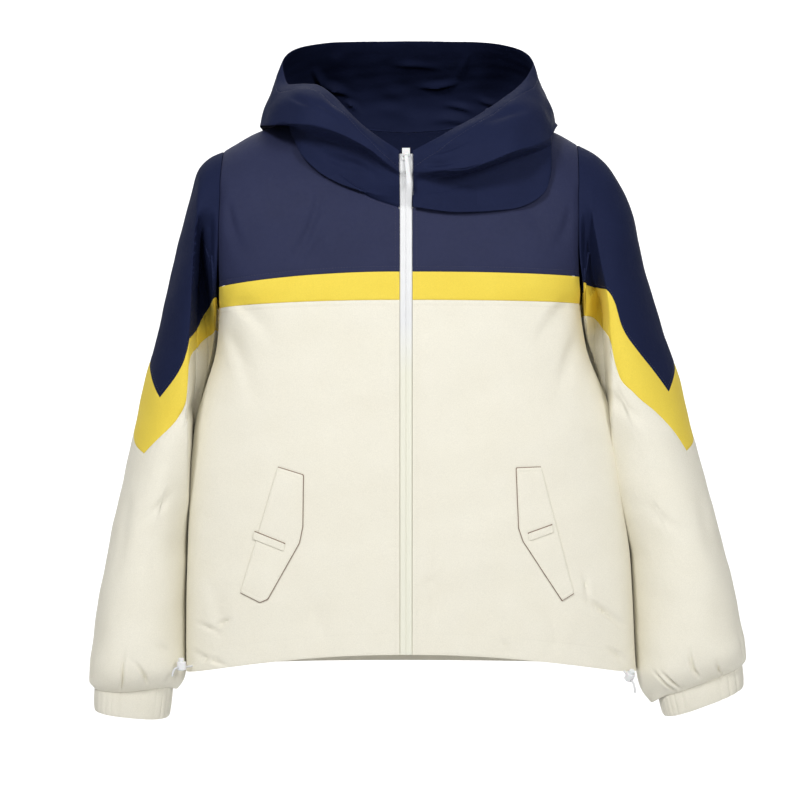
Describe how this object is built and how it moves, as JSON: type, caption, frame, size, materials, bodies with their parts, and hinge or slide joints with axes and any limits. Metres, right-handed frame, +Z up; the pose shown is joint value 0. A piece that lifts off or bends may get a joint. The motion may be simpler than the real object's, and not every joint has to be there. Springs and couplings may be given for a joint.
{
  "type": "hooded windbreaker jacket",
  "caption": "Hip-length zip-front windbreaker with a dropped hood, gathered cuffs, slanted flap pockets and cord locks at the hem, filled out as if worn.",
  "frame": {"origin": "midway between the two neck points at the top of the shoulder seams, where a wearer's shoulders or a hanger hold the jacket", "axes": "+Z up, +X towards the wearer's left sleeve, the front faces -Y; metres"},
  "size_m": [0.7867, 0.2961, 0.8257],
  "materials": {
    "navy_shell": "matt woven nylon, slightly crinkled",
    "yellow_shell": "matt woven nylon, slightly crinkled",
    "cream_shell": "matt woven nylon, slightly crinkled",
    "cream_cuff": "matt woven nylon, gathered on elastic",
    "zip_tape": "matt woven tape",
    "white_plastic": "moulded acetal, satin",
    "white_cord": "braided elastic"
  },
  "bodies": {
    "garment": {"back_band": "yellow_shell", "back_panel": "cream_shell", "back_yoke": "navy_shell", "cord_lock_left": "white_plastic", "cord_lock_right": "white_plastic", "cuff_left": "cream_cuff", "cuff_right": "cream_cuff", "flap_tab_left": "cream_shell", "flap_tab_right": "cream_shell", "front_band_left": "yellow_shell", "front_band_right": "yellow_shell", "front_panel_left": "cream_shell", "front_panel_right": "cream_shell", "front_yoke_left": "navy_shell", "front_yoke_right": "navy_shell", "hem_cord_left": "white_cord", "hem_cord_right": "white_cord", "hood_back_left": "navy_shell", "hood_back_right": "navy_shell", "hood_centre": "navy_shell", "hood_left": "navy_shell", "hood_right": "navy_shell", "pocket_flap_left": "cream_shell", "pocket_flap_right": "cream_shell", "sleeve_band_left": "yellow_shell", "sleeve_band_right": "yellow_shell", "sleeve_lower_back_left": "cream_shell", "sleeve_lower_back_right": "cream_shell", "sleeve_lower_front_left": "cream_shell", "sleeve_lower_front_right": "cream_shell", "sleeve_upper_left": "navy_shell", "sleeve_upper_right": "navy_shell", "zip_slider": "white_plastic", "zip_tape_left": "zip_tape", "zip_tape_right": "zip_tape"},
    "pull_tab": {"zip_pull": "white_plastic"},
    "button_left": {"lock_button_left": "white_plastic"},
    "button_right": {"lock_button_right": "white_plastic"}
  },
  "joints": [
    {"name": "zip_pull_hinge", "type": "hinge", "parent": "garment", "child": "pull_tab", "pos_m": [0, -0.1116, -0.066], "axis": [-1, 0, 0], "range_deg": [0, 160]},
    {"name": "lock_left_press", "type": "slide", "parent": "garment", "child": "button_left", "axis": [-0.3197, 0.4748, -0.82], "range_m": [0, 0.0024], "stiffness_N_per_m": 150, "springref_m": -0.002},
    {"name": "lock_right_press", "type": "slide", "parent": "garment", "child": "button_right", "axis": [0.0295, 0.025, -0.9993], "range_m": [0, 0.0024], "stiffness_N_per_m": 150, "springref_m": -0.002}
  ]
}
